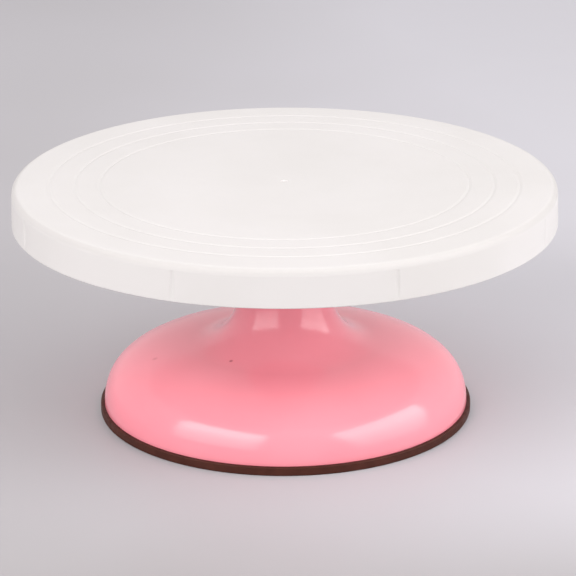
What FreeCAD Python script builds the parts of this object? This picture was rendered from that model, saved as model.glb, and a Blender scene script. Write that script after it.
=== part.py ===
import FreeCAD, Part
import math
import os
from FreeCAD import Vector

# Cake turntable: a white platter that spins on two ball bearings in a moulded pedestal base.
# All sizes are in millimetres. +Z is up, -Y is the front, and the origin is the middle of the
# circle on which the anti-slip ring stands. Every profile is given as (radius, height) pairs.

# ---- Overall ---------------------------------------------------------------------------------
PLATTER_RADIUS = 140.0
OVERALL_HEIGHT = 122.8
RIB_COUNT = 8                   # radial ribs, in the platter and in the base alike
RIB_START_DEG = 22.5            # the front, back and sides fall midway between two ribs
RIB_THICKNESS = 2.0

# ---- Platter ---------------------------------------------------------------------------------
PLATE_THICKNESS = 3.0
SKIRT_HEIGHT = 19.2
SKIRT_WALL = 2.5
SKIRT_DRAFT = 0.4               # how much narrower the skirt is at its top than at its foot
TOP_EDGE_ROUND = 3.5
SKIRT_FOOT_ROUND = 0.5
INSIDE_CORNER_ROUND = 1.5
GUIDE_RING_RADII = (94.4, 107.3, 120.2)
GUIDE_RING_WIDTH = 2.6
GUIDE_RING_DEPTH = 0.5
GATE_MARK_RADIUS = 2.1          # the moulding gate's small recess in the middle of the top
GATE_MARK_FLOOR_RADIUS = 1.7
GATE_MARK_DEPTH = 0.8
SINK_LINE_WIDTH = 3.6           # the faint upright line on the skirt outside each radial rib
SINK_LINE_DEPTH = 0.35
PLATTER_RIB_DEPTH = 6.0
PLATTER_RING_RIB_RADIUS = 75.0
HUB_RADIUS = 19.0
HUB_DEPTH = 7.8

# ---- Spindle and its flange --------------------------------------------------------------------
SPINDLE_RADIUS = 3.98           # runs in the bearings' 4.00 bores
SPINDLE_SOCKET_RADIUS = 4.0
SPINDLE_SOCKET_DEPTH = 6.0
SPINDLE_TIP_CHAMFER = 1.0
SPINDLE_OVERRUN = 1.5           # how far the tip passes the lower bearing
FLANGE_RADIUS = 17.0
FLANGE_THICKNESS = 2.0
FLANGE_SCREW_CIRCLE = 12.5
SPACER_RADIUS = 5.8

# ---- Ball bearings, size 608 -------------------------------------------------------------------
BEARING_RADIUS = 11.0
BEARING_BORE_RADIUS = 4.0
BEARING_WIDTH = 7.0
BALL_COUNT = 7
BALL_RADIUS = 1.984
BALL_CIRCLE_RADIUS = 7.5
RACEWAY_GAP = 0.056             # between a ball and its raceways
RING_SHOULDER_DEPTH = 0.75      # how deep a raceway is cut
RING_CHAMFER = 0.3
SHIELD_THICKNESS = 0.3
SHIELD_SEAT_DEPTH = 0.6
SHIELD_SEAT_RADIUS = 9.5
SHIELD_GAP = 0.2                # between a shield and the inner ring
CAGE_INNER_RADIUS = 6.65
CAGE_OUTER_RADIUS = 8.35
CAGE_BELOW = 2.55
CAGE_ABOVE = 1.3
CAGE_POCKET_GAP = 0.1

# ---- Base ----------------------------------------------------------------------------------
BASE_RADIUS = 94.8
WALL = 2.5
SHELL_FOOT = 1.8                # height of the shell's lower edge, inside the rubber ring
DOME_START = 4.5                # height at which the dome's curve begins
DOME_RISE = 22.7                # straight-up handle of the dome's curve
WAIST_RADIUS = 49.3             # where the dome turns into the column's flare
WAIST_HEIGHT = 35.9
WAIST_SLOPE_DEG = 5.7
DOME_REACH = 25.2
FLARE_REACH = 23.7
COLUMN_RADIUS = 21.5
FLARE_TOP = 91.4
FLARE_DROP = 32.5
COLUMN_TOP = 106.5
COLUMN_DRAFT = 0.3
COLUMN_EDGE_ROUND = 2.0
COLUMN_ROOF = 3.0
TUBE_RADIUS = 14.0
TUBE_BORE_RADIUS = 9.5
TUBE_FOOT = 46.0
RIB_OUTER_RADIUS = 90.0
RIB_OUTER_HEIGHT = 14.0
RIB_CAP_GAP = 1.0
RIB_ROOT_OVERLAP = 1.0          # how far a rib reaches into the bearing tube's wall
UPPER_BEARING_RECESS = 0.5      # upper bearing's face below the column's top
LOWER_BEARING_RECESS = 3.0      # lower bearing's face above the tube's foot

# ---- Bearing cap -----------------------------------------------------------------------------
CAP_RADIUS = 21.0
CAP_THICKNESS = 2.5
CAP_EDGE_BEVEL = 0.5
CAP_SPIGOT_RADIUS = 10.9
CAP_SPIGOT_BORE = 9.5
CAP_SCREW_CIRCLE = 17.0
CAP_BOSS_RADIUS = 3.6
CAP_BOSS_LENGTH = 12.0

# ---- Self-tapping screws, 2.5 mm core ---------------------------------------------------------
SCREWS_PER_CIRCLE = 4
SCREW_CORE_RADIUS = 1.25
SCREW_CLEARANCE_RADIUS = 1.45
SCREW_GRIP = 7.0                # length of the core inside the plastic
SCREW_PILOT_DEPTH = 9.0
SCREW_HEAD_RADIUS = 2.6
SCREW_HEAD_HEIGHT = 1.8
SCREW_HEAD_ROUND = 0.6
SCREW_SLOT_WIDTH = 0.7
SCREW_SLOT_DEPTH = 1.0
SCREW_SLOT_LENGTH = 3.2

# ---- Anti-slip ring --------------------------------------------------------------------------
FOOT_RADIUS = 96.8
FOOT_INNER_RADIUS = 89.8
FOOT_HEIGHT = 4.5
FOOT_EDGE_ROUND = 0.6
FOOT_GROOVE_GAP = 0.05

# ---- Heights worked out from the above ----------------------------------------------------------
PLATE_UNDERSIDE = OVERALL_HEIGHT - PLATE_THICKNESS
SKIRT_FOOT = OVERALL_HEIGHT - SKIRT_HEIGHT
HUB_FACE = PLATE_UNDERSIDE - HUB_DEPTH
FLANGE_FACE = HUB_FACE - FLANGE_THICKNESS
UPPER_BEARING_TOP = COLUMN_TOP - UPPER_BEARING_RECESS
UPPER_BEARING_FOOT = UPPER_BEARING_TOP - BEARING_WIDTH
LOWER_BEARING_FOOT = TUBE_FOOT + LOWER_BEARING_RECESS
LOWER_BEARING_TOP = LOWER_BEARING_FOOT + BEARING_WIDTH
CAP_FACE = TUBE_FOOT - CAP_THICKNESS
SPINDLE_TIP = LOWER_BEARING_FOOT - SPINDLE_OVERRUN

UP = Vector(0, 0, 1)
BEYOND = 5.0                    # how far a cutting tool runs past the face it starts from


# ---- Shape helpers -----------------------------------------------------------------------------
def at(radius, height, degrees=0.0):
    """A point at a radius from the axis, a height and an angle from +X."""
    angle = math.radians(degrees)
    return Vector(radius * math.cos(angle), radius * math.sin(angle), height)


def unit(start, end):
    """The direction from one (radius, height) pair to another, and their distance."""
    step = (end[0] - start[0], end[1] - start[1])
    length = math.hypot(*step)
    return (step[0] / length, step[1] / length), length


def line(start, end):
    return Part.LineSegment(at(*start), at(*end)).toShape()


def bezier(poles):
    curve = Part.BezierCurve()
    curve.setPoles([at(*pole) for pole in poles])
    return curve.toShape()


def outline(corners, closed=True):
    """Edges through (radius, height, rounding) corners, each corner rounded by its own arc."""
    count = len(corners)
    ends, arcs = [], []
    for index, (radius, height, rounding) in enumerate(corners):
        corner = (radius, height)
        if rounding == 0:
            ends.append((corner, corner))
            continue
        back, _ = unit(corner, corners[index - 1][:2])
        ahead, _ = unit(corner, corners[(index + 1) % count][:2])
        half = math.acos(back[0] * ahead[0] + back[1] * ahead[1]) / 2
        reach = rounding / math.tan(half)
        inward, _ = unit((0, 0), (back[0] + ahead[0], back[1] + ahead[1]))
        depth = rounding / math.sin(half) - rounding
        enter = (radius + back[0] * reach, height + back[1] * reach)
        leave = (radius + ahead[0] * reach, height + ahead[1] * reach)
        middle = (radius + inward[0] * depth, height + inward[1] * depth)
        arcs.append(Part.Arc(at(*enter), at(*middle), at(*leave)).toShape())
        ends.append((enter, leave))
    last = count if closed else count - 1
    sides = [line(ends[i][1], ends[(i + 1) % count][0]) for i in range(last)]
    return sides + arcs


def revolve(edges):
    """Turn a closed profile about the vertical axis into one solid."""
    profile = Part.Face(Part.Wire(Part.sortEdges(edges)[0]))
    return profile.revolve(Vector(0, 0, 0), UP, 360)


def lathe(*corners):
    """The solid of revolution through sharp (radius, height) corners."""
    return revolve(outline([(radius, height, 0) for radius, height in corners]))


def cylinder(radius, low, high, centre_radius=0.0, degrees=0.0):
    return Part.makeCylinder(radius, high - low, at(centre_radius, low, degrees), UP)


def tube(inner, outer, low, high):
    return cylinder(outer, low, high).cut(cylinder(inner, low, high))


def cutter_radius(width, depth):
    """Radius of the round cutter that leaves a mark of this width and depth in a face."""
    return (width * width / 4 + depth * depth) / (2 * depth)


def around(count, start=0.0):
    """Evenly spaced angles in degrees."""
    return [start + index * 360.0 / count for index in range(count)]


def radial_plates(reach, low, high):
    """Upright plates through the axis, one for each opposite pair of ribs."""
    plates = []
    for degrees in around(RIB_COUNT, RIB_START_DEG)[: RIB_COUNT // 2]:
        plate = Part.makeBox(2 * reach, RIB_THICKNESS, high - low,
                             Vector(-reach, -RIB_THICKNESS / 2, low))
        plates.append(plate.rotate(Vector(0, 0, 0), UP, degrees))
    return plates


# ---- Platter ---------------------------------------------------------------------------------
def platter_blank():
    """The outside of the platter as a solid disc with a drafted rim."""
    top_radius = PLATTER_RADIUS - SKIRT_DRAFT
    return revolve(outline([
        (0, SKIRT_FOOT, 0),
        (PLATTER_RADIUS, SKIRT_FOOT, SKIRT_FOOT_ROUND),
        (top_radius, OVERALL_HEIGHT, TOP_EDGE_ROUND),
        (0, OVERALL_HEIGHT, 0),
    ]))


def platter_hollow():
    """The space under the plate, less the hub and the ribs that cross it."""
    inside = PLATTER_RADIUS - SKIRT_WALL
    space = revolve(outline([
        (0, SKIRT_FOOT - BEYOND, 0),
        (inside, SKIRT_FOOT - BEYOND, 0),
        (inside - SKIRT_DRAFT, PLATE_UNDERSIDE, INSIDE_CORNER_ROUND),
        (HUB_RADIUS, PLATE_UNDERSIDE, INSIDE_CORNER_ROUND),
        (HUB_RADIUS, HUB_FACE, 0),
        (0, HUB_FACE, 0),
    ]))
    rib_foot = PLATE_UNDERSIDE - PLATTER_RIB_DEPTH
    ribs = radial_plates(PLATTER_RADIUS, rib_foot, PLATE_UNDERSIDE)
    half = RIB_THICKNESS / 2
    ribs.append(tube(PLATTER_RING_RIB_RADIUS - half, PLATTER_RING_RIB_RADIUS + half,
                     rib_foot, PLATE_UNDERSIDE))
    return space.cut(ribs)


def guide_ring_cutters():
    radius = cutter_radius(GUIDE_RING_WIDTH, GUIDE_RING_DEPTH)
    height = OVERALL_HEIGHT + radius - GUIDE_RING_DEPTH
    return [Part.makeTorus(ring, radius, at(0, height)) for ring in GUIDE_RING_RADII]


def gate_mark_cutter():
    floor = OVERALL_HEIGHT - GATE_MARK_DEPTH
    return Part.makeCone(GATE_MARK_FLOOR_RADIUS, GATE_MARK_RADIUS, GATE_MARK_DEPTH, at(0, floor), UP)


def sink_line_cutters():
    """Faint upright marks on the skirt, leaning inward with its draft."""
    radius = cutter_radius(SINK_LINE_WIDTH, SINK_LINE_DEPTH)
    proud = radius - SINK_LINE_DEPTH
    low = SKIRT_FOOT + 2 * SKIRT_FOOT_ROUND
    high = OVERALL_HEIGHT - TOP_EDGE_ROUND
    cutters = []
    for degrees in around(RIB_COUNT, RIB_START_DEG):
        foot = at(PLATTER_RADIUS + proud, low, degrees)
        head = at(PLATTER_RADIUS - SKIRT_DRAFT + proud, high, degrees)
        cutters.append(Part.makeCylinder(radius, foot.distanceToPoint(head), foot, head - foot))
    return cutters


def make_platter():
    cutters = [platter_hollow(), gate_mark_cutter()]
    cutters += guide_ring_cutters() + sink_line_cutters()
    cutters.append(cylinder(SPINDLE_SOCKET_RADIUS, HUB_FACE - BEYOND, HUB_FACE + SPINDLE_SOCKET_DEPTH))
    cutters += screw_holes(FLANGE_SCREW_CIRCLE, HUB_FACE, SCREW_PILOT_DEPTH, SCREW_CORE_RADIUS)
    return platter_blank().cut(cutters)


# ---- Screws ------------------------------------------------------------------------------------
def screw_holes(circle, face, depth, radius):
    """Holes that open downward from a face, one for each screw of a circle."""
    return [cylinder(radius, face - BEYOND, face + depth, circle, degrees)
            for degrees in around(SCREWS_PER_CIRCLE)]


def make_screws(circle, head_face, plate):
    """Pan-head screws driven upward through a plate whose lower face is head_face."""
    low = head_face - SCREW_HEAD_HEIGHT
    head = revolve(outline([
        (0, low, 0),
        (SCREW_HEAD_RADIUS, low, SCREW_HEAD_ROUND),
        (SCREW_HEAD_RADIUS, head_face, 0),
        (SCREW_CORE_RADIUS, head_face, 0),
        (SCREW_CORE_RADIUS, head_face + plate + SCREW_GRIP, 0),
        (0, head_face + plate + SCREW_GRIP + SCREW_CORE_RADIUS, 0),
    ]))
    slot = Part.makeBox(SCREW_SLOT_LENGTH, SCREW_SLOT_WIDTH, SCREW_SLOT_DEPTH,
                        Vector(-SCREW_SLOT_LENGTH / 2, -SCREW_SLOT_WIDTH / 2, low))
    cross = slot.copy().rotate(Vector(0, 0, 0), UP, 90)
    screw = head.cut([slot, cross])
    return Part.makeCompound([screw.translated(at(circle, 0, degrees))
                              for degrees in around(SCREWS_PER_CIRCLE)])


# ---- Spindle -----------------------------------------------------------------------------------
def make_spindle():
    """The 8 mm steel pin: its head sits in the hub, its chamfered tip below the lower bearing."""
    head_top = HUB_FACE + SPINDLE_SOCKET_DEPTH
    return lathe(
        (0, SPINDLE_TIP),
        (SPINDLE_RADIUS - SPINDLE_TIP_CHAMFER, SPINDLE_TIP),
        (SPINDLE_RADIUS, SPINDLE_TIP + SPINDLE_TIP_CHAMFER),
        (SPINDLE_RADIUS, FLANGE_FACE),
        (SPINDLE_SOCKET_RADIUS, FLANGE_FACE),
        (SPINDLE_SOCKET_RADIUS, head_top),
        (0, head_top),
    )


def make_spindle_flange():
    disc = tube(SPINDLE_SOCKET_RADIUS, FLANGE_RADIUS, FLANGE_FACE, HUB_FACE)
    return disc.cut(screw_holes(FLANGE_SCREW_CIRCLE, FLANGE_FACE, FLANGE_THICKNESS + BEYOND,
                                SCREW_CLEARANCE_RADIUS))


def make_spindle_spacer():
    return tube(BEARING_BORE_RADIUS, SPACER_RADIUS, UPPER_BEARING_TOP, FLANGE_FACE)


# ---- Ball bearings -------------------------------------------------------------------------------
def bearing_ring(inner, outer, low, high, raceway):
    """A bearing ring with chamfered corners and a round raceway."""
    bevel = RING_CHAMFER
    return lathe(
        (inner, low + bevel), (inner + bevel, low), (outer - bevel, low), (outer, low + bevel),
        (outer, high - bevel), (outer - bevel, high), (inner + bevel, high), (inner, high - bevel),
    ).cut(raceway)


def bearing_shield(inner, low):
    return tube(inner, SHIELD_SEAT_RADIUS, low, low + SHIELD_THICKNESS)


def make_bearing(name, foot):
    """The pieces of one shielded ball bearing whose lower face is at height foot."""
    top = foot + BEARING_WIDTH
    middle = (foot + top) / 2
    raceway = Part.makeTorus(BALL_CIRCLE_RADIUS, BALL_RADIUS + RACEWAY_GAP, at(0, middle))
    inner_shoulder = BALL_CIRCLE_RADIUS - BALL_RADIUS + RING_SHOULDER_DEPTH
    outer_shoulder = BALL_CIRCLE_RADIUS + BALL_RADIUS - RING_SHOULDER_DEPTH
    outer_ring = bearing_ring(outer_shoulder, BEARING_RADIUS, foot, top, raceway)
    lower_seat = cylinder(SHIELD_SEAT_RADIUS, foot - BEYOND, foot + SHIELD_SEAT_DEPTH)
    upper_seat = cylinder(SHIELD_SEAT_RADIUS, top - SHIELD_SEAT_DEPTH, top + BEYOND)
    centres = [at(BALL_CIRCLE_RADIUS, middle, degrees) for degrees in around(BALL_COUNT)]
    pockets = [Part.makeSphere(BALL_RADIUS + CAGE_POCKET_GAP, centre) for centre in centres]
    cage = tube(CAGE_INNER_RADIUS, CAGE_OUTER_RADIUS, middle - CAGE_BELOW, middle + CAGE_ABOVE)
    shield_bore = inner_shoulder + SHIELD_GAP
    return {
        name + "_outer_ring": outer_ring.cut([lower_seat, upper_seat]),
        name + "_inner_ring": bearing_ring(BEARING_BORE_RADIUS, inner_shoulder, foot, top, raceway),
        name + "_balls": Part.makeCompound([Part.makeSphere(BALL_RADIUS, centre) for centre in centres]),
        name + "_cage": cage.cut(pockets),
        name + "_top_shield": bearing_shield(shield_bore, top - SHIELD_SEAT_DEPTH),
        name + "_bottom_shield": bearing_shield(shield_bore,
                                                foot + SHIELD_SEAT_DEPTH - SHIELD_THICKNESS),
    }


# ---- Base shell ----------------------------------------------------------------------------------
def inset_cubic(poles, distance):
    """A cubic moved sideways: its ends along their normals, its handles scaled with its chord."""
    start_way, start_reach = unit(poles[0], poles[1])
    end_way, end_reach = unit(poles[3], poles[2])
    start = (poles[0][0] - start_way[1] * distance, poles[0][1] + start_way[0] * distance)
    end = (poles[3][0] + end_way[1] * distance, poles[3][1] - end_way[0] * distance)
    scale = unit(start, end)[1] / unit(poles[0], poles[3])[1]
    first = (start[0] + start_way[0] * start_reach * scale, start[1] + start_way[1] * start_reach * scale)
    second = (end[0] + end_way[0] * end_reach * scale, end[1] + end_way[1] * end_reach * scale)
    return [start, first, second, end]


def base_curves(inset):
    """The dome and the flare of the base, moved inward by a wall's thickness."""
    slope = math.radians(WAIST_SLOPE_DEG)
    waist = (WAIST_RADIUS, WAIST_HEIGHT)
    dome = [
        (BASE_RADIUS, DOME_START),
        (BASE_RADIUS, DOME_START + DOME_RISE),
        (WAIST_RADIUS + DOME_REACH * math.cos(slope), WAIST_HEIGHT - DOME_REACH * math.sin(slope)),
        waist,
    ]
    flare = [
        waist,
        (WAIST_RADIUS - FLARE_REACH * math.cos(slope), WAIST_HEIGHT + FLARE_REACH * math.sin(slope)),
        (COLUMN_RADIUS, FLARE_TOP - FLARE_DROP),
        (COLUMN_RADIUS, FLARE_TOP),
    ]
    return inset_cubic(dome, inset), inset_cubic(flare, inset)


def base_body(inset, foot, roof, edge_round):
    """The solid inside the base's outer surface, or inside its wall."""
    dome, flare = base_curves(inset)
    column_top = COLUMN_RADIUS - COLUMN_DRAFT - inset
    rest = outline([
        (*flare[3], 0),
        (column_top, roof, edge_round),
        (0, roof, 0),
        (0, foot, 0),
        (BASE_RADIUS - inset, foot, 0),
        (BASE_RADIUS - inset, DOME_START, 0),
    ], closed=False)
    return revolve([bezier(dome), bezier(flare)] + rest)


def base_ribs():
    """Radial ribs from the bearing tube out to the dome, deeper towards the tube."""
    root = TUBE_RADIUS - RIB_ROOT_OVERLAP
    envelope = lathe(
        (root, TUBE_FOOT), (CAP_RADIUS + RIB_CAP_GAP, TUBE_FOOT),
        (RIB_OUTER_RADIUS, RIB_OUTER_HEIGHT), (RIB_OUTER_RADIUS, COLUMN_TOP), (root, COLUMN_TOP),
    )
    return [envelope.common(plate) for plate in radial_plates(BASE_RADIUS, 0, COLUMN_TOP)]


def base_hollow():
    """The space inside the base, less the bearing tube, the screw bosses and the ribs."""
    space = base_body(WALL, SHELL_FOOT - BEYOND, COLUMN_TOP - COLUMN_ROOF, 0)
    bosses = [cylinder(CAP_BOSS_RADIUS, TUBE_FOOT, TUBE_FOOT + CAP_BOSS_LENGTH, CAP_SCREW_CIRCLE, degrees)
              for degrees in around(SCREWS_PER_CIRCLE)]
    return space.cut([cylinder(TUBE_RADIUS, TUBE_FOOT, COLUMN_TOP)] + bosses + base_ribs())


def make_base_shell():
    bores = [
        cylinder(BEARING_RADIUS, UPPER_BEARING_FOOT, COLUMN_TOP + BEYOND),
        cylinder(TUBE_BORE_RADIUS, TUBE_FOOT - BEYOND, COLUMN_TOP),
        cylinder(BEARING_RADIUS, TUBE_FOOT - BEYOND, LOWER_BEARING_TOP),
    ]
    pilots = screw_holes(CAP_SCREW_CIRCLE, TUBE_FOOT, SCREW_PILOT_DEPTH, SCREW_CORE_RADIUS)
    body = base_body(0, SHELL_FOOT, COLUMN_TOP, COLUMN_EDGE_ROUND)
    return body.cut(base_hollow()).cut(bores + pilots)


def make_bearing_cap():
    """A blind disc whose spigot holds the lower bearing up against its shoulder."""
    disc = lathe(
        (0, CAP_FACE), (CAP_RADIUS - CAP_EDGE_BEVEL, CAP_FACE), (CAP_RADIUS, CAP_FACE + CAP_EDGE_BEVEL),
        (CAP_RADIUS, TUBE_FOOT), (CAP_SPIGOT_RADIUS, TUBE_FOOT),
        (CAP_SPIGOT_RADIUS, LOWER_BEARING_FOOT), (CAP_SPIGOT_BORE, LOWER_BEARING_FOOT),
        (CAP_SPIGOT_BORE, TUBE_FOOT), (0, TUBE_FOOT),
    )
    return disc.cut(screw_holes(CAP_SCREW_CIRCLE, CAP_FACE, CAP_THICKNESS + BEYOND,
                                SCREW_CLEARANCE_RADIUS))


# ---- Anti-slip ring --------------------------------------------------------------------------------
def make_anti_slip_ring():
    """A rubber channel that the base's lower edge stands in."""
    groove_outer = BASE_RADIUS + FOOT_GROOVE_GAP
    groove_inner = BASE_RADIUS - WALL - FOOT_GROOVE_GAP
    return revolve(outline([
        (FOOT_INNER_RADIUS, 0, FOOT_EDGE_ROUND),
        (FOOT_RADIUS, 0, FOOT_EDGE_ROUND),
        (FOOT_RADIUS, FOOT_HEIGHT, FOOT_EDGE_ROUND),
        (groove_outer, FOOT_HEIGHT, 0),
        (groove_outer, SHELL_FOOT, 0),
        (groove_inner, SHELL_FOOT, 0),
        (groove_inner, FOOT_HEIGHT, 0),
        (FOOT_INNER_RADIUS, FOOT_HEIGHT, FOOT_EDGE_ROUND),
    ]))


# ---- All nodes -------------------------------------------------------------------------------------
def make_parts():
    parts = {
        "platter": make_platter(),
        "spindle_flange": make_spindle_flange(),
        "flange_screws": make_screws(FLANGE_SCREW_CIRCLE, FLANGE_FACE, FLANGE_THICKNESS),
        "spindle": make_spindle(),
        "spindle_spacer": make_spindle_spacer(),
        "base_shell": make_base_shell(),
        "bearing_cap": make_bearing_cap(),
        "cap_screws": make_screws(CAP_SCREW_CIRCLE, CAP_FACE, CAP_THICKNESS),
        "anti_slip_ring": make_anti_slip_ring(),
    }
    parts.update(make_bearing("upper_bearing", UPPER_BEARING_FOOT))
    parts.update(make_bearing("lower_bearing", LOWER_BEARING_FOOT))
    return parts


os.makedirs("parts", exist_ok=True)
for node, shape in make_parts().items():
    shape.exportStep("parts/" + node + ".step")
    print(node, len(shape.Solids), "solids, valid", shape.isValid(), round(shape.Volume), "mm3")
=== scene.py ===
import math

import bpy
import bmesh
from mathutils import Euler, Matrix, Vector


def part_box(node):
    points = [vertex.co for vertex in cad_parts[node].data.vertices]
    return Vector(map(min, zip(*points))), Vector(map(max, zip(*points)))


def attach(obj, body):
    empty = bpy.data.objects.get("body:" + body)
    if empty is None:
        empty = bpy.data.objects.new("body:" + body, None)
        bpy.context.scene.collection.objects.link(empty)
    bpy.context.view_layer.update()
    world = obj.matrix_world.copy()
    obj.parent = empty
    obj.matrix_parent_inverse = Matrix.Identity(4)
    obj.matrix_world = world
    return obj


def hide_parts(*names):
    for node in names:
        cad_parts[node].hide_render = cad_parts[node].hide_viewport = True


# Cake turntable: a white moulded platter with engraved guide rings on a glossy pink pedestal.
# Everything is in metres in the CAD frame: +Z up, -Y the front, the axis of rotation on Z.

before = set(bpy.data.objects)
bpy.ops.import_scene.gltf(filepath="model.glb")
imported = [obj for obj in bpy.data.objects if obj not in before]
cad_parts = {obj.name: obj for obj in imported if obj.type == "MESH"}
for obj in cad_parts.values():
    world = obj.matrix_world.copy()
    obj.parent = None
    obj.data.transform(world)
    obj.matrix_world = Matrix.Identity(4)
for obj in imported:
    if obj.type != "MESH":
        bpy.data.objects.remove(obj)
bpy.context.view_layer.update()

MM = 0.001
TAU = 2 * math.pi

# ---- Main dimensions, read from the CAD frame -------------------------------------------------
PLATTER_LOW, PLATTER_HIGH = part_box("platter")
SHELL_LOW, SHELL_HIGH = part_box("base_shell")
RING_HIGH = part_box("anti_slip_ring")[1]
FLANGE_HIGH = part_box("spindle_flange")[1]
SPINDLE_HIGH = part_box("spindle")[1]
CAP_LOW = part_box("bearing_cap")[0]
UPPER_LOW, UPPER_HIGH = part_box("upper_bearing_outer_ring")
LOWER_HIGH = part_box("lower_bearing_outer_ring")[1]

PLATTER_RADIUS = PLATTER_HIGH.x
PLATTER_TOP = PLATTER_HIGH.z
SKIRT_FOOT = PLATTER_LOW.z
BASE_RADIUS = SHELL_HIGH.x
SHELL_FOOT = SHELL_LOW.z
COLUMN_TOP = SHELL_HIGH.z
FOOT_RADIUS = RING_HIGH.x
FOOT_HEIGHT = RING_HIGH.z

# ---- Details of the mouldings -------------------------------------------------------------------
# As in the CAD model, with softened edges. The depths of the guide rings, the centre mark and the
# sink lines, and the sink lines' width, differ from it: they are set to show as faintly as in life.
RIB_COUNT = 8
RIB_START = math.radians(22.5)
RIB_THICKNESS = 2.0 * MM
RIB_TIP_THICKNESS = 1.5 * MM
RIB_EMBED = 0.6 * MM            # how far a rib reaches into the wall it grows from

PLATE_THICKNESS = 3.0 * MM
PLATE_UNDERSIDE = PLATTER_TOP - PLATE_THICKNESS
SKIRT_DRAFT = 0.4 * MM
SKIRT_WALL = 2.5 * MM
TOP_EDGE_ROUND = 3.5 * MM
GUIDE_RINGS = (94.4 * MM, 107.3 * MM, 120.2 * MM)
GUIDE_WIDTH = 2.6 * MM
GUIDE_DEPTH = 0.28 * MM
GUIDE_SHOULDER_ROUND = 0.5 * MM
GUIDE_BOTTOM_ROUND = 0.8 * MM
GATE_RADIUS = 2.1 * MM
GATE_FLOOR_RADIUS = 1.7 * MM
GATE_DEPTH = 0.5 * MM
SINK_WIDTH = 3.0 * MM
SINK_DEPTH = 0.5 * MM
SINK_RUN_OUT = 1.0 * MM         # length over which a sink line fades at each end
SINK_REACH_INWARD = 1.2 * MM    # only the skirt's outside, this deep, is drawn in
SINK_COLUMNS = 5                # columns of vertices on each side of a sink line's centre
HUB_RADIUS = 19.0 * MM
HUB_FACE = FLANGE_HIGH.z
SOCKET_RADIUS = 4.0 * MM
PLATTER_RIB_DEPTH = 6.0 * MM
PLATTER_RIB_FOOT = PLATE_UNDERSIDE - PLATTER_RIB_DEPTH
RING_RIB_RADIUS = 75.0 * MM

WALL = 2.5 * MM
DOME_START = FOOT_HEIGHT
WAIST = (49.3 * MM, 35.9 * MM)
WAIST_SLOPE = math.radians(5.7)
DOME_RISE = 22.7 * MM
DOME_REACH = 25.2 * MM
FLARE_REACH = 23.7 * MM
FLARE_DROP = 32.5 * MM
COLUMN_RADIUS = 21.5 * MM
FLARE_TOP = 91.4 * MM
COLUMN_DRAFT = 0.3 * MM
ROOF_THICKNESS = 3.0 * MM
COLUMN_ROOF = COLUMN_TOP - ROOF_THICKNESS
TUBE_RADIUS = 14.0 * MM
TUBE_BORE = 9.5 * MM
BEARING_SEAT = UPPER_HIGH.x
CAP_PLATE = 2.5 * MM
TUBE_FOOT = CAP_LOW.z + CAP_PLATE
SCREW_COUNT = 4
CAP_SCREW_CIRCLE = 17.0 * MM
CAP_BOSS_RADIUS = 3.6 * MM
CAP_BOSS_LENGTH = 12.0 * MM
CAP_BOSS_TOP = TUBE_FOOT + CAP_BOSS_LENGTH
CAP_BOSS_CHAMFER = 0.4 * MM
RIB_INNER_FOOT = 22.0 * MM      # radius at which a base rib's lower edge leaves the cap
RIB_OUTER_FOOT = (90.0 * MM, 14.0 * MM)
RIB_DOME_REACH = 88.0 * MM      # a rib follows the dome's wall out to this radius
RING_INNER_RADIUS = 89.8 * MM
GROOVE_GAP = 0.05 * MM          # room between the shell's lower edge and the ring's groove
CURVE_STEPS = 60
TURNED_SEGMENTS = 288


# ---- Profiles: lists of (radius, height) points --------------------------------------------------
def corner_arc(back, corner, ahead, radius, steps):
    """Points of the round that replaces one corner of an outline."""
    to_back = (Vector(back) - Vector(corner)).normalized()
    to_ahead = (Vector(ahead) - Vector(corner)).normalized()
    half = to_back.angle(to_ahead) / 2
    centre = Vector(corner) + (to_back + to_ahead).normalized() * radius / math.sin(half)
    start = Vector(corner) + to_back * radius / math.tan(half) - centre
    turn = start.angle_signed(Vector(corner) + to_ahead * radius / math.tan(half) - centre)
    points = []
    for step in range(steps + 1):
        arm = start.copy()
        arm.rotate(Matrix.Rotation(-turn * step / steps, 2))
        points.append(tuple(centre + arm))
    return points


def rounded(corners, steps=8):
    """An open outline through (radius, height, rounding) corners."""
    points = []
    for index, (radius, height, rounding) in enumerate(corners):
        if rounding == 0:
            points.append((radius, height))
            continue
        back, ahead = corners[index - 1][:2], corners[index + 1][:2]
        points += corner_arc(back, (radius, height), ahead, rounding, steps)
    return points


def cubic(poles, steps):
    """Points of a cubic curve, without its last."""
    points = []
    for step in range(steps):
        t = step / steps
        weights = ((1 - t) ** 3, 3 * t * (1 - t) ** 2, 3 * t * t * (1 - t), t ** 3)
        point = (sum(w * pole[axis] for w, pole in zip(weights, poles)) for axis in (0, 1))
        points.append(tuple(point))
    return points


def stepped(points, longest):
    """The same outline with its long runs divided, and a short run kept beside each corner."""
    hold = 0.15 * MM
    result = [points[0]]
    for start, end in zip(points, points[1:]):
        a, b = Vector(start), Vector(end)
        length = (b - a).length
        if length > longest:
            count = math.ceil(length / longest)
            fractions = [hold / length] + [i / count for i in range(1, count)] + [1 - hold / length]
            result += [tuple(a.lerp(b, fraction)) for fraction in fractions]
        result.append(end)
    return result


# ---- Meshes --------------------------------------------------------------------------------------
def finish_mesh(name, bm, sharp_degrees=32):
    """Make an object of a bmesh, smooth except at its hard edges."""
    bmesh.ops.recalc_face_normals(bm, faces=bm.faces)
    mesh = bpy.data.meshes.new(name)
    bm.to_mesh(mesh)
    bm.free()
    mesh.shade_smooth()
    mesh.set_sharp_from_angle(angle=math.radians(sharp_degrees))
    piece = bpy.data.objects.new(name, mesh)
    bpy.context.scene.collection.objects.link(piece)
    return piece


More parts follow.
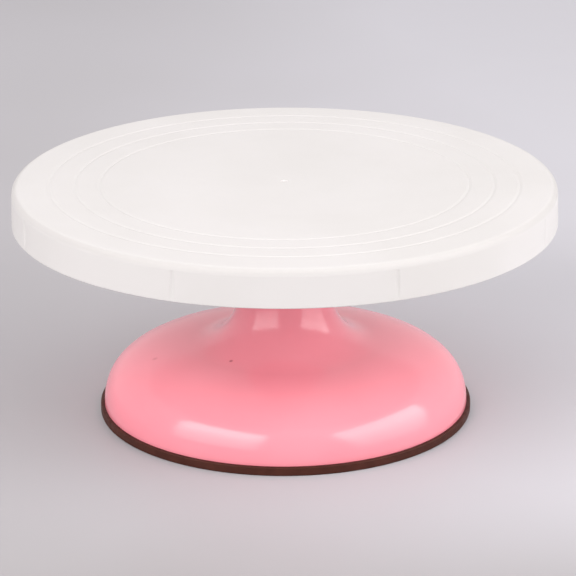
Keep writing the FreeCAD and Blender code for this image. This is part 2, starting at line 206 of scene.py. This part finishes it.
def lathe(profile, angles, shape=None):
    """A bmesh turned from a profile; a profile that starts or ends on the axis is closed there."""
    bm = bmesh.new()
    loops = []
    for radius, height in profile:
        if radius < 1e-7:
            loops.append([bm.verts.new((0, 0, height))])
            continue
        ring = []
        for angle in angles:
            r = radius + (shape(radius, height, angle) if shape else 0)
            ring.append(bm.verts.new((r * math.cos(angle), r * math.sin(angle), height)))
        loops.append(ring)
    if profile[0] == profile[-1]:
        for vert in loops.pop():
            bm.verts.remove(vert)
        loops.append(loops[0])
    count = len(angles)
    for lower, upper in zip(loops, loops[1:]):
        for i in range(count):
            j = (i + 1) % count
            quad = [lower[i % len(lower)], lower[j % len(lower)],
                    upper[j % len(upper)], upper[i % len(upper)]]
            bm.faces.new(list(dict.fromkeys(quad)))
    return bm


def turned(name, profile, segments=TURNED_SEGMENTS):
    return finish_mesh(name, lathe(profile, [TAU * i / segments for i in range(segments)]))


def unite(body, *tools):
    """Join solids into the body, and drop the tools."""
    for tool in tools:
        modifier = body.modifiers.new("join", "BOOLEAN")
        modifier.operation = "UNION"
        modifier.solver = "MANIFOLD"
        modifier.object = tool
        with bpy.context.temp_override(object=body, active_object=body):
            bpy.ops.object.modifier_apply(modifier=modifier.name)
        bpy.data.objects.remove(tool)
    return body


def rib(angle, outline):
    """A radial rib: an upright outline of (radius, height) points, thinner towards its free edge."""
    low = min(height for _, height in outline)
    high = max(height for _, height in outline)
    bm = bmesh.new()
    sides = []
    for side in (-1, 1):
        ring = []
        for radius, height in outline:
            share = (height - low) / (high - low)
            half = (RIB_TIP_THICKNESS + (RIB_THICKNESS - RIB_TIP_THICKNESS) * share) / 2
            ring.append(bm.verts.new((radius, side * half, height)))
        sides.append(ring)
    bm.faces.new(sides[0])
    bm.faces.new(list(reversed(sides[1])))
    for i in range(len(outline)):
        j = (i + 1) % len(outline)
        bm.faces.new((sides[0][i], sides[1][i], sides[1][j], sides[0][j]))
    bmesh.ops.transform(bm, matrix=Matrix.Rotation(angle, 4, "Z"), verts=bm.verts)
    return finish_mesh("rib", bm)


def rib_angles():
    return [RIB_START + TAU * i / RIB_COUNT for i in range(RIB_COUNT)]


def screw_angles():
    return [TAU * i / SCREW_COUNT for i in range(SCREW_COUNT)]


# ---- Platter -----------------------------------------------------------------------------------
def platter_angles():
    """Even angles, with extra ones across each faint sink line of the skirt."""
    even, digits = 256, 6
    angles = {round(TAU * i / even, digits) for i in range(even)}
    reach = SINK_WIDTH / 2 / PLATTER_RADIUS
    clear = reach * 1.15
    for centre in rib_angles():
        angles = {a for a in angles if abs(a - centre % TAU) > clear}
        columns = range(-SINK_COLUMNS, SINK_COLUMNS + 1)
        angles |= {round(centre % TAU + reach * i / SINK_COLUMNS, digits) for i in columns}
    return sorted(angles)


def sink_lines(radius, height, angle):
    """How far the skirt's outside is drawn in at each rib."""
    start, end = SKIRT_FOOT + SINK_RUN_OUT, PLATTER_TOP - TOP_EDGE_ROUND
    if radius < PLATTER_RADIUS - SINK_REACH_INWARD or height <= start:
        return 0
    nearest = min(abs((angle - centre + math.pi) % TAU - math.pi) for centre in rib_angles())
    across = nearest * PLATTER_RADIUS / (SINK_WIDTH / 2)
    if across >= 1:
        return 0
    fade = min(1, (height - start) / SINK_RUN_OUT, (end - height) / SINK_RUN_OUT)
    return -SINK_DEPTH * max(0, fade) * math.cos(across * math.pi / 2) ** 2


def platter_profile():
    """From the centre of the top, out over the edge, down the skirt and back along the underside."""
    top, foot, under = PLATTER_TOP, SKIRT_FOOT, PLATE_UNDERSIDE
    gate_floor = top - GATE_DEPTH
    corners = [
        (0, gate_floor, 0),
        (GATE_FLOOR_RADIUS, gate_floor, 0.3 * MM),
        (GATE_RADIUS, top, 0.15 * MM),
    ]
    for ring in GUIDE_RINGS:
        corners += [
            (ring - GUIDE_WIDTH / 2, top, GUIDE_SHOULDER_ROUND),
            (ring, top - GUIDE_DEPTH, GUIDE_BOTTOM_ROUND),
            (ring + GUIDE_WIDTH / 2, top, GUIDE_SHOULDER_ROUND),
        ]
    inside = PLATTER_RADIUS - SKIRT_WALL
    corners += [
        (PLATTER_RADIUS - SKIRT_DRAFT, top, TOP_EDGE_ROUND),
        (PLATTER_RADIUS, foot, 0.5 * MM),
        (inside, foot, 0.4 * MM),
        (inside - SKIRT_DRAFT, under, 1.5 * MM),
        (HUB_RADIUS, under, 1.5 * MM),
        (HUB_RADIUS, HUB_FACE, 0.3 * MM),
        (SOCKET_RADIUS, HUB_FACE, 0),
        (SOCKET_RADIUS, SPINDLE_HIGH.z, 0),
        (0, SPINDLE_HIGH.z, 0),
    ]
    return stepped(rounded(corners), 4 * MM)


def make_platter():
    body = finish_mesh("platter_moulding", lathe(platter_profile(), platter_angles(), sink_lines))
    start = HUB_RADIUS - RIB_EMBED
    end = PLATTER_RADIUS - SKIRT_WALL - SKIRT_DRAFT + RIB_EMBED
    high = PLATE_UNDERSIDE + RIB_EMBED
    outline = [(start, PLATTER_RIB_FOOT), (end, PLATTER_RIB_FOOT), (end, high), (start, high)]
    half = RIB_THICKNESS / 2
    tip = half * 0.8
    ring = [
        (RING_RIB_RADIUS - half, high),
        (RING_RIB_RADIUS + half, high),
        (RING_RIB_RADIUS + tip, PLATTER_RIB_FOOT),
        (RING_RIB_RADIUS - tip, PLATTER_RIB_FOOT),
        (RING_RIB_RADIUS - half, high),
    ]
    ribs = [rib(angle, outline) for angle in rib_angles()]
    unite(body, turned("ring_rib", ring), *ribs)
    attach(body, "platter")
    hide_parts("platter")
    return body


# ---- Base ----------------------------------------------------------------------------------------
def inset(poles, distance):
    """A cubic's poles moved sideways by a wall's thickness."""
    points = [Vector(pole) for pole in poles]
    start_handle, end_handle = points[1] - points[0], points[2] - points[3]
    start_normal = Vector((-start_handle.y, start_handle.x)).normalized()
    end_normal = Vector((end_handle.y, -end_handle.x)).normalized()
    start, end = points[0] + start_normal * distance, points[3] + end_normal * distance
    scale = (end - start).length / (points[3] - points[0]).length
    return [start, start + start_handle * scale, end + end_handle * scale, end]


def base_curves(distance, steps):
    """The dome and the flare, from the foot up to the column."""
    along = Vector((math.cos(WAIST_SLOPE), -math.sin(WAIST_SLOPE)))
    waist = Vector(WAIST)
    dome = [
        (BASE_RADIUS, DOME_START),
        (BASE_RADIUS, DOME_START + DOME_RISE),
        waist + along * DOME_REACH,
        waist,
    ]
    flare = [
        waist,
        waist - along * FLARE_REACH,
        (COLUMN_RADIUS, FLARE_TOP - FLARE_DROP),
        (COLUMN_RADIUS, FLARE_TOP),
    ]
    return cubic(inset(dome, distance), steps) + cubic(inset(flare, distance), steps)


def shell_profile():
    """A closed outline: up the outside, over the column's top, down the bores, back up the inside."""
    head = COLUMN_RADIUS - COLUMN_DRAFT
    outside = [(BASE_RADIUS, SHELL_FOOT)] + base_curves(0, CURVE_STEPS)
    outside += stepped(rounded([
        (COLUMN_RADIUS, FLARE_TOP, 0),
        (head, COLUMN_TOP, 2.0 * MM),
        (BEARING_SEAT + 0.3 * MM, COLUMN_TOP, 0),
        (BEARING_SEAT, COLUMN_TOP - 0.3 * MM, 0),
        (BEARING_SEAT, UPPER_LOW.z, 0),
        (TUBE_BORE, UPPER_LOW.z, 0),
        (TUBE_BORE, LOWER_HIGH.z, 0),
        (BEARING_SEAT, LOWER_HIGH.z, 0),
        (BEARING_SEAT, TUBE_FOOT, 0),
        (TUBE_RADIUS, TUBE_FOOT, 0.3 * MM),
        (TUBE_RADIUS, COLUMN_ROOF, 0.8 * MM),
        (head - WALL, COLUMN_ROOF, 0.8 * MM),
        (COLUMN_RADIUS - WALL, FLARE_TOP, 0),
    ]), 5 * MM)
    inside = list(reversed(base_curves(WALL, CURVE_STEPS)))
    foot = rounded([
        (BASE_RADIUS - WALL, DOME_START, 0),
        (BASE_RADIUS - WALL, SHELL_FOOT, 0.2 * MM),
        (BASE_RADIUS, SHELL_FOOT, 0),
    ])
    return outside + inside + foot[1:]


def base_rib_outline():
    """Out along the lower edge, back along the middle of the shell's wall, and in to the tube."""
    start = TUBE_RADIUS - RIB_EMBED
    wall = [point for point in base_curves(WALL / 2, CURVE_STEPS) if point[0] < RIB_DOME_REACH]
    lower_edge = [(start, TUBE_FOOT), (RIB_INNER_FOOT, TUBE_FOOT), RIB_OUTER_FOOT]
    return lower_edge + wall + [(start, FLARE_TOP)]


def cap_boss(angle):
    """A boss inside the shell that takes one of the cap's screws."""
    boss = turned("boss", [
        (0, CAP_BOSS_TOP),
        (CAP_BOSS_RADIUS - CAP_BOSS_CHAMFER, CAP_BOSS_TOP),
        (CAP_BOSS_RADIUS, CAP_BOSS_TOP - CAP_BOSS_CHAMFER),
        (CAP_BOSS_RADIUS, TUBE_FOOT),
        (0, TUBE_FOOT),
    ], 32)
    place = (CAP_SCREW_CIRCLE * math.cos(angle), CAP_SCREW_CIRCLE * math.sin(angle), 0)
    boss.data.transform(Matrix.Translation(place))
    return boss


def make_base_shell():
    body = turned("base_moulding", shell_profile())
    outline = base_rib_outline()
    ribs = [rib(angle, outline) for angle in rib_angles()]
    bosses = [cap_boss(angle) for angle in screw_angles()]
    unite(body, *ribs, *bosses)
    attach(body, "base")
    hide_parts("base_shell")
    return body


def make_ring():
    """The rubber channel round the foot, with soft edges."""
    edge, lip = 0.6 * MM, 0.2 * MM
    groove_outer = BASE_RADIUS + GROOVE_GAP
    groove_inner = BASE_RADIUS - WALL - GROOVE_GAP
    seam = (RING_INNER_RADIUS + 3 * MM, 0, 0)
    corners = [
        seam,
        (FOOT_RADIUS, 0, edge),
        (FOOT_RADIUS, FOOT_HEIGHT, edge),
        (groove_outer, FOOT_HEIGHT, lip),
        (groove_outer, SHELL_FOOT, 0),
        (groove_inner, SHELL_FOOT, 0),
        (groove_inner, FOOT_HEIGHT, lip),
        (RING_INNER_RADIUS, FOOT_HEIGHT, edge),
        (RING_INNER_RADIUS, 0, edge),
        seam,
    ]
    ring = turned("rubber_foot", stepped(rounded(corners, 6), 2 * MM))
    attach(ring, "base")
    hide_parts("anti_slip_ring")
    return ring


# ---- Materials -----------------------------------------------------------------------------------
class Material:
    """A node material on Blender's Principled shader, with helpers for its procedural detail."""

    def __init__(self, name, **settings):
        self.material = bpy.data.materials.new(name)
        self.material.use_nodes = True
        self.nodes = self.material.node_tree.nodes
        self.links = self.material.node_tree.links
        self.shader = self.nodes["Principled BSDF"]
        for socket, value in settings.items():
            self.shader.inputs[socket.replace("_", " ")].default_value = value
        self.place = self.nodes.new("ShaderNodeTexCoord").outputs["Object"]
        self.height = None

    def noise(self, scale, detail=3.0, rough=0.5, vector=None):
        node = self.nodes.new("ShaderNodeTexNoise")
        node.inputs["Scale"].default_value = scale
        node.inputs["Detail"].default_value = detail
        node.inputs["Roughness"].default_value = rough
        self.links.new(vector or self.place, node.inputs["Vector"])
        return node.outputs["Fac"]

    def spread(self, value, low, high, start=0.3, end=0.7):
        """Map a value that runs from start to end onto low to high."""
        node = self.nodes.new("ShaderNodeMapRange")
        node.interpolation_type = "SMOOTHSTEP"
        for socket, number in zip(("From Min", "From Max", "To Min", "To Max"), (start, end, low, high)):
            node.inputs[socket].default_value = number
        self.links.new(value, node.inputs["Value"])
        return node.outputs["Result"]

    def math(self, operation, first, second=None):
        node = self.nodes.new("ShaderNodeMath")
        node.operation = operation
        for socket, value in zip(node.inputs, (first, second)):
            if isinstance(value, (int, float)):
                socket.default_value = value
            elif value is not None:
                self.links.new(value, socket)
        return node.outputs[0]

    def mix(self, amount, first, second):
        """Blend two colours; each is a tuple or a socket."""
        node = self.nodes.new("ShaderNodeMix")
        node.data_type = "RGBA"
        self.links.new(amount, node.inputs["Factor"])
        for socket, value in ((node.inputs["A"], first), (node.inputs["B"], second)):
            if isinstance(value, tuple):
                socket.default_value = (*value, 1)
            else:
                self.links.new(value, socket)
        return node.outputs["Result"]

    def bump(self, height, distance, strength=1.0):
        node = self.nodes.new("ShaderNodeBump")
        node.inputs["Strength"].default_value = strength
        node.inputs["Distance"].default_value = distance
        self.links.new(height, node.inputs["Height"])
        if self.height:
            self.links.new(self.height, node.inputs["Normal"])
        self.height = node.outputs["Normal"]

    def axes(self):
        """X, Y and Z of the point, each as a socket."""
        split = self.nodes.new("ShaderNodeSeparateXYZ")
        self.links.new(self.place, split.inputs[0])
        return split.outputs

    def radius(self):
        """Distance from the axis of rotation."""
        x, y, _ = self.axes()
        return self.math("SQRT", self.math("ADD", self.math("MULTIPLY", x, x), self.math("MULTIPLY", y, y)))

    def spot(self, centre, radius, strength):
        """A soft round spot about a point."""
        node = self.nodes.new("ShaderNodeVectorMath")
        node.operation = "DISTANCE"
        self.links.new(self.place, node.inputs[0])
        node.inputs[1].default_value = centre
        return self.spread(node.outputs["Value"], strength, 0, 0, radius)

    def polar(self, radial, angular, vertical):
        """Coordinates that run out from the axis, round it and up it, each with its own scale."""
        x, y, z = self.axes()
        out, turn = self.radius(), self.math("ARCTAN2", y, x)
        join = self.nodes.new("ShaderNodeCombineXYZ")
        for socket, value, scale in zip(join.inputs, (out, turn, z), (radial, angular, vertical)):
            self.links.new(self.math("MULTIPLY", value, scale), socket)
        return join.outputs[0]

    def done(self, colour, roughness):
        self.links.new(colour, self.shader.inputs["Base Color"])
        self.links.new(roughness, self.shader.inputs["Roughness"])
        if self.height:
            self.links.new(self.height, self.shader.inputs["Normal"])
        return self.material


WHITE_TONES = ((0.617, 0.597, 0.586), (0.642, 0.621, 0.615))
RIM_PAINTED_SHADE = (0.565, 0.545, 0.535)    # painted shade on the platter's rounded rim, which dims the highlight there
PAINTED_GLOW_STRENGTH = 0.22            # strength of a painted glow on the platter's underside and inner skirt, standing in for light that passes through the thin white plastic
PAINTED_GLOW_COLOUR = (1, 0.96, 0.93, 1)
PINK_TONES = ((0.82, 0.250, 0.304), (0.84, 0.270, 0.325))
SPECK_TONE = (0.30, 0.05, 0.07)
RUBBER_TONES = ((0.048, 0.011, 0.006), (0.062, 0.016, 0.009))
STEEL_TONE = (0.62, 0.62, 0.63)
BALL_TONE = (0.72, 0.72, 0.74)
PLATED_TONE = (0.55, 0.56, 0.57)
SCREW_TONE = (0.52, 0.52, 0.54)
# the paper's shaded and lit tones, between which the floor's painted light and shade run
PAPER_TONES = ((0.351, 0.334, 0.341), (0.548, 0.538, 0.576))


def white_plastic(name, tint):
    """Satin white moulded plastic: soft mottling, a fine grain and faint turning marks."""
    m = Material(name, IOR=1.46, Specular_IOR_Level=0.18)
    cloud = m.noise(14, 2)
    dark, light = (tuple(c * tint for c in tone) for tone in WHITE_TONES)
    colour = m.mix(m.spread(cloud, 0, 1), dark, light)
    marks = m.noise(1, 4, 0.6, m.polar(1500, 5, 1500))
    rough = m.math("ADD", m.spread(m.noise(60, 3), 0.40, 0.48), m.spread(marks, -0.02, 0.03))
    m.bump(m.noise(9, 1), 0.25 * MM, 0.5)
    m.bump(m.noise(2600, 2), 0.02 * MM, 0.35)
    return m, colour, rough


def platter_plastic():
    """The white plastic, with painted shade on its rounded rim and a painted glow on its underside."""
    m, colour, rough = white_plastic("white_plastic", 1.0)
    # painted shade: the rounded rim gets a darker tone, which dims its highlight
    far, near = TOP_EDGE_ROUND, TOP_EDGE_ROUND / 2
    rim = m.spread(m.radius(), 0, 1, PLATTER_RADIUS - far, PLATTER_RADIUS - near)
    high = m.spread(m.axes()[2], 0, 1, PLATTER_TOP - far, PLATTER_TOP - near)
    colour = m.mix(m.math("MULTIPLY", rim, high), colour, RIM_PAINTED_SHADE)
    # painted glow: the underside and the inside of the skirt emit light, standing in for light that passes
    # through the plastic
    below = m.math("LESS_THAN", m.axes()[2], PLATE_UNDERSIDE + PLATE_THICKNESS / 3)
    inside = m.math("LESS_THAN", m.radius(), PLATTER_RADIUS - SKIRT_WALL * 0.6)
    glow = m.math("MULTIPLY", m.math("MULTIPLY", below, inside), PAINTED_GLOW_STRENGTH)
    m.shader.inputs["Emission Color"].default_value = PAINTED_GLOW_COLOUR
    m.links.new(glow, m.shader.inputs["Emission Strength"])
    return m.done(colour, rough)


def cap_plastic():
    m, colour, rough = white_plastic("cap_plastic", 0.95)
    return m.done(colour, rough)


SPECKS = (                      # place, radius and strength of the specks moulded into the dome
    (Vector((-27.8, -33.1, 37.0)) * MM, 1.5 * MM, 0.85),
    (Vector((-67.4, -17.4, 32.5)) * MM, 2.2 * MM, 0.25),
)


def pink_plastic():
    """Glossy pink moulded plastic: slight waviness, faint haze and two tiny specks."""
    m = Material("pink_plastic", IOR=1.5, Specular_IOR_Level=0.6)
    cloud = m.noise(18, 2)
    colour = m.mix(m.spread(cloud, 0, 1), *PINK_TONES)
    for centre, radius, strength in SPECKS:
        colour = m.mix(m.spot(centre, radius, strength), colour, SPECK_TONE)
    rough = m.spread(m.noise(45, 4, 0.6), 0.14, 0.18)
    m.bump(m.noise(22, 1), 0.2 * MM, 0.5)
    m.bump(m.noise(1800, 2), 0.01 * MM, 0.3)
    return m.done(colour, rough)


def brown_rubber():
    """Matt brown rubber with a coarse grain."""
    m = Material("brown_rubber", IOR=1.5, Specular_IOR_Level=0.2)
    cloud = m.noise(120, 3)
    colour = m.mix(m.spread(cloud, 0, 1), *RUBBER_TONES)
    rough = m.spread(m.noise(300, 3), 0.5, 0.65)
    m.bump(m.noise(1500, 3), 0.06 * MM, 0.5)
    return m.done(colour, rough)


def steel(name, colour, rough, scale):
    """Turned or drawn metal with fine marks round the axis."""
    m = Material(name, Metallic=1.0)
    marks = m.noise(1, 4, 0.6, m.polar(*scale))
    tone = m.mix(m.spread(marks, 0, 1), tuple(c * 0.86 for c in colour), colour)
    m.bump(marks, 0.01 * MM, 0.4)
    return m.done(tone, m.spread(marks, rough * 0.8, rough * 1.3))


def paint(nodes, material):
    """Give a material to nodes that keep their CAD shape."""
    for node in nodes:
        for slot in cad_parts[node].material_slots:
            slot.material = material


def bearing_nodes(*pieces):
    """Names of these pieces of both ball bearings."""
    return [f"{bearing}_bearing_{piece}" for bearing in ("upper", "lower") for piece in pieces]


def dress(piece, material):
    piece.data.materials.clear()
    piece.data.materials.append(material)


# ---- Stage ---------------------------------------------------------------------------------------
def make_floor():
    """A wide disc of pale paper with painted light and shade: lighter behind the stand and to its right,
    darker to its left and in front.
    """
    bm = bmesh.new()
    bmesh.ops.create_circle(bm, cap_ends=True, radius=9.0, segments=96)
    floor = finish_mesh("floor", bm)
    m = Material("floor_paper", IOR=1.35)
    x, y, _ = m.axes()
    # painted shade and light: darker to the left of the stand and towards the front, lighter behind it
    across = m.spread(x, 0.3, 0.9, -0.22, 0.22)
    ahead = m.spread(y, 0.1, 1.0, -0.26, -0.1)
    behind = m.spread(y, 0.0, 0.2, 0.1, 0.7)
    mottle_and_painted_light = m.math("ADD", m.spread(m.noise(3.5, 4), -0.06, 0.06), behind)
    tone = m.math("ADD", m.math("MULTIPLY", across, ahead), mottle_and_painted_light)
    colour = m.mix(tone, *PAPER_TONES)
    rough = m.spread(m.noise(7, 3), 0.5, 0.62)
    dress(floor, m.done(colour, rough))


CAMERA_LENS = 188.2             # focal length, mm
CAMERA_SENSOR = 36.0            # sensor width, mm
CAMERA_PLACE = (0.0015, -1.4724, 0.5839)
CAMERA_DOWN = 19.42             # degrees below the horizontal
CAMERA_ROLL = -0.24             # degrees about the line of sight


def make_camera():
    data = bpy.data.cameras.new("camera")
    data.lens = CAMERA_LENS
    data.sensor_width = CAMERA_SENSOR
    data.clip_end = 50
    camera = bpy.data.objects.new("camera", data)
    camera.location = CAMERA_PLACE
    tilt = Matrix.Rotation(math.radians(90 - CAMERA_DOWN), 4, "X")
    roll = Matrix.Rotation(math.radians(CAMERA_ROLL), 4, "Z")
    camera.rotation_euler = (tilt @ roll).to_euler()
    bpy.context.scene.collection.objects.link(camera)
    bpy.context.scene.camera = camera


SOFTBOX_ROWS = (1.0, 1.0, 0.72, 0.48, 0.35)     # brightness of a softbox from its top edge down


def softbox(name, bearing, distance, height, width, tall, tilt, power, colour):
    """A light at a bearing from the front, in degrees, that faces the axis and fades downward."""
    angle = math.radians(bearing)
    centre = Vector((distance * math.sin(angle), -distance * math.cos(angle), height))
    facing = Euler((math.radians(90 - tilt), 0, angle))
    upward = facing.to_matrix() @ Vector((0, 1, 0))
    rows = len(SOFTBOX_ROWS)
    for row, share in enumerate(SOFTBOX_ROWS):
        data = bpy.data.lights.new(f"{name}_{row}", "AREA")
        data.shape = "RECTANGLE"
        data.size, data.size_y = width, tall / rows
        data.energy = power * share / rows
        data.color = colour
        light = bpy.data.objects.new(data.name, data)
        light.location = centre + upward * tall * (0.5 - (row + 0.5) / rows)
        light.rotation_euler = facing
        bpy.context.scene.collection.objects.link(light)


WORLD_LOW = (0.69, 0.78)        # strength near the horizon, in front and behind
WORLD_TOP = 1.0                 # strength overhead
WORLD_COLOUR = (1.0, 0.975, 0.98, 1)


def make_lights():
    """Two softboxes in front of the stand, and a world that is a little brighter behind and overhead."""
    softbox("left_softbox", bearing=-45, distance=1.7, height=0.88, width=1.91, tall=1.37,
            tilt=16, power=42, colour=(1, 0.99, 0.98))
    softbox("right_softbox", bearing=69, distance=1.7, height=0.63, width=2.04, tall=1.47,
            tilt=34, power=38, colour=(1, 0.995, 0.985))
    world = bpy.data.worlds.new("world")
    world.use_nodes = True
    nodes, links = world.node_tree.nodes, world.node_tree.links
    place = nodes.new("ShaderNodeTexCoord")
    split = nodes.new("ShaderNodeSeparateXYZ")
    links.new(place.outputs["Generated"], split.inputs[0])

    def fade(axis, start, end, low, high):
        node = nodes.new("ShaderNodeMapRange")
        node.interpolation_type = "SMOOTHSTEP"
        for socket, value in zip(("From Min", "From Max", "To Min", "To Max"), (start, end, low, high)):
            node.inputs[socket].default_value = value
        links.new(split.outputs[axis], node.inputs["Value"])
        return node

    across = fade("Y", -0.3, 0.3, *WORLD_LOW)
    up = fade("Z", 0.5, 0.95, 0.0, WORLD_TOP)
    links.new(across.outputs["Result"], up.inputs["To Min"])
    background = nodes["Background"]
    background.inputs["Color"].default_value = WORLD_COLOUR
    links.new(up.outputs["Result"], background.inputs["Strength"])
    bpy.context.scene.world = world


# ---- Build ---------------------------------------------------------------------------------------
make_camera()
make_lights()
make_floor()

dress(make_platter(), platter_plastic())
dress(make_base_shell(), pink_plastic())
dress(make_ring(), brown_rubber())

plated = bearing_nodes("cage", "top_shield", "bottom_shield") + ["spindle_flange", "spindle_spacer"]
paint(["bearing_cap"], cap_plastic())
paint(["spindle"], steel("ground_steel", STEEL_TONE, 0.2, (300, 2, 9000)))
paint(bearing_nodes("outer_ring", "inner_ring"), steel("ring_steel", STEEL_TONE, 0.16, (6000, 2, 6000)))
paint(bearing_nodes("balls"), steel("ball_steel", BALL_TONE, 0.06, (200, 2, 200)))
paint(plated, steel("plated_steel", PLATED_TONE, 0.28, (2500, 3, 2500)))
paint(["flange_screws", "cap_screws"], steel("screw_steel", SCREW_TONE, 0.3, (3000, 40, 3000)))

bpy.context.scene.view_settings.view_transform = "Standard"
